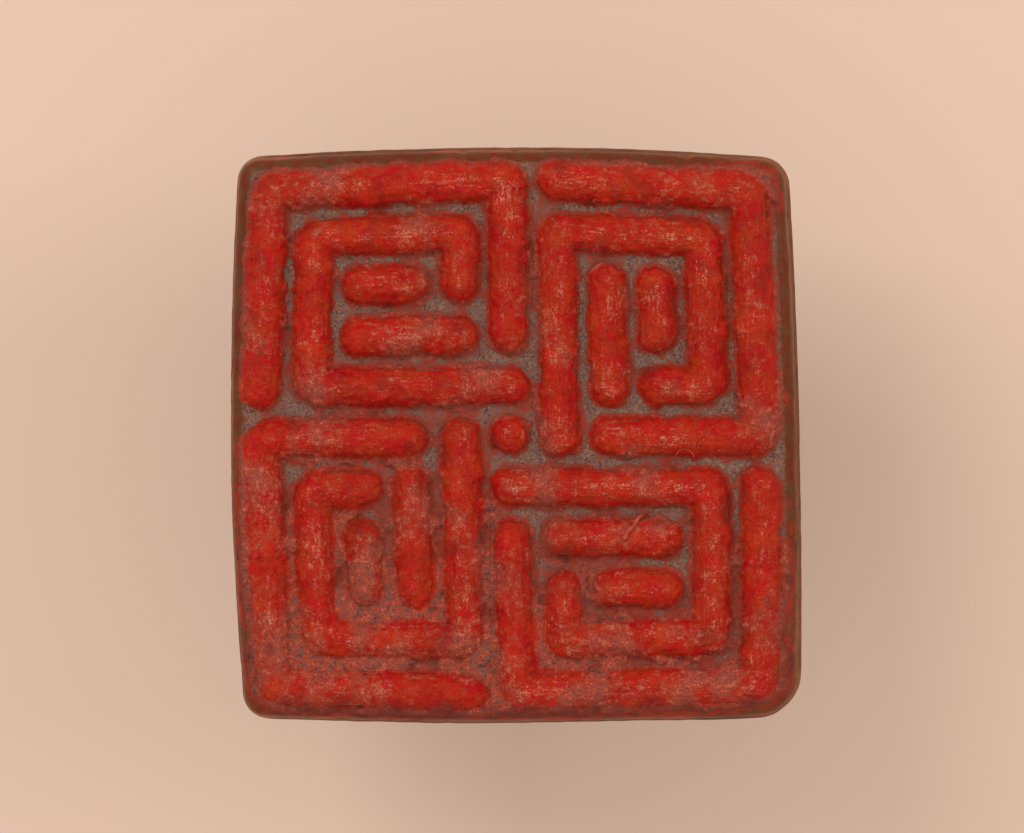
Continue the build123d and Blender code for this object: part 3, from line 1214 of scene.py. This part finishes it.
class SEAL_OT_wear_block(bpy.types.Operator):
    """Replaces the plain block with a worn casting"""

    bl_idname = "seal.wear_block"
    bl_label = "Wear the block"

    def execute(self, context):
        wear_block(context.scene.seal_metal, context.scene.seal_paste)
        return {"FINISHED"}


class SEAL_OT_wear_knob(bpy.types.Operator):
    """Replaces the plain knob with one polished by handling"""

    bl_idname = "seal.wear_knob"
    bl_label = "Wear the knob"

    def execute(self, context):
        wear_knob(context.scene.seal_metal)
        return {"FINISHED"}


class SEAL_OT_run_braze(bpy.types.Operator):
    """Replaces the plain braze with a lumpy bead"""

    bl_idname = "seal.run_braze"
    bl_label = "Run the braze"

    def execute(self, context):
        run_braze(context.scene.seal_metal)
        return {"FINISHED"}


class SEAL_OT_finish_strips(bpy.types.Operator):
    """Gives the bent strips and the middle boss their metal"""

    bl_idname = "seal.finish_strips"
    bl_label = "Finish the strips"

    def execute(self, context):
        material = strip_bronze_material(context.scene.seal_metal, context.scene.seal_paste)
        for node in STRIP_NODES:
            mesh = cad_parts[node].data
            mesh.materials.clear()
            mesh.materials.append(material)
        return {"FINISHED"}


class SEAL_OT_spread_paste(bpy.types.Operator):
    """Spreads dried paste over the strips and into the channels"""

    bl_idname = "seal.spread_paste"
    bl_label = "Spread the paste"

    def execute(self, context):
        spread_paste(context.scene.seal_paste)
        return {"FINISHED"}


class SEAL_OT_lay_floss(bpy.types.Operator):
    """Lays loose threads of floss on the paste"""

    bl_idname = "seal.lay_floss"
    bl_label = "Lay the floss"

    def execute(self, context):
        lay_floss(context.scene.seal_paste)
        return {"FINISHED"}


class SEAL_OT_build_stage(bpy.types.Operator):
    """Sets the paper, the lamps and the camera"""

    bl_idname = "seal.build_stage"
    bl_label = "Build the stage"

    def execute(self, context):
        build_stage(context.scene.seal_studio)
        return {"FINISHED"}


class SEAL_PT_panel(bpy.types.Panel):
    """Lists the steps that dress the seal"""

    bl_idname = "SEAL_PT_panel"
    bl_label = "Bronze Seal"
    bl_space_type = "VIEW_3D"
    bl_region_type = "UI"
    bl_category = "Seal"

    def draw(self, context):
        column = self.layout.column()
        for operator in OPERATORS:
            column.operator(operator.bl_idname)


SETTINGS = {
    "seal_metal": MetalSettings,
    "seal_paste": PasteSettings,
    "seal_studio": StudioSettings,
}
OPERATORS = (
    SEAL_OT_wear_block,
    SEAL_OT_wear_knob,
    SEAL_OT_run_braze,
    SEAL_OT_finish_strips,
    SEAL_OT_spread_paste,
    SEAL_OT_lay_floss,
    SEAL_OT_build_stage,
)


def register():
    for group in SETTINGS.values():
        bpy.utils.register_class(group)
    for operator in OPERATORS:
        bpy.utils.register_class(operator)
    bpy.utils.register_class(SEAL_PT_panel)
    for name, group in SETTINGS.items():
        setattr(bpy.types.Scene, name, bpy.props.PointerProperty(type=group))


def unregister():
    for name in SETTINGS:
        delattr(bpy.types.Scene, name)
    bpy.utils.unregister_class(SEAL_PT_panel)
    for operator in reversed(OPERATORS):
        bpy.utils.unregister_class(operator)
    for group in reversed(SETTINGS.values()):
        bpy.utils.unregister_class(group)


def main():
    """Dresses the seal step by step."""
    register()
    bpy.ops.seal.wear_block()
    bpy.ops.seal.wear_knob()
    bpy.ops.seal.run_braze()
    bpy.ops.seal.finish_strips()
    bpy.ops.seal.spread_paste()
    bpy.ops.seal.lay_floss()
    bpy.ops.seal.build_stage()


if __name__ == "__main__":
    main()
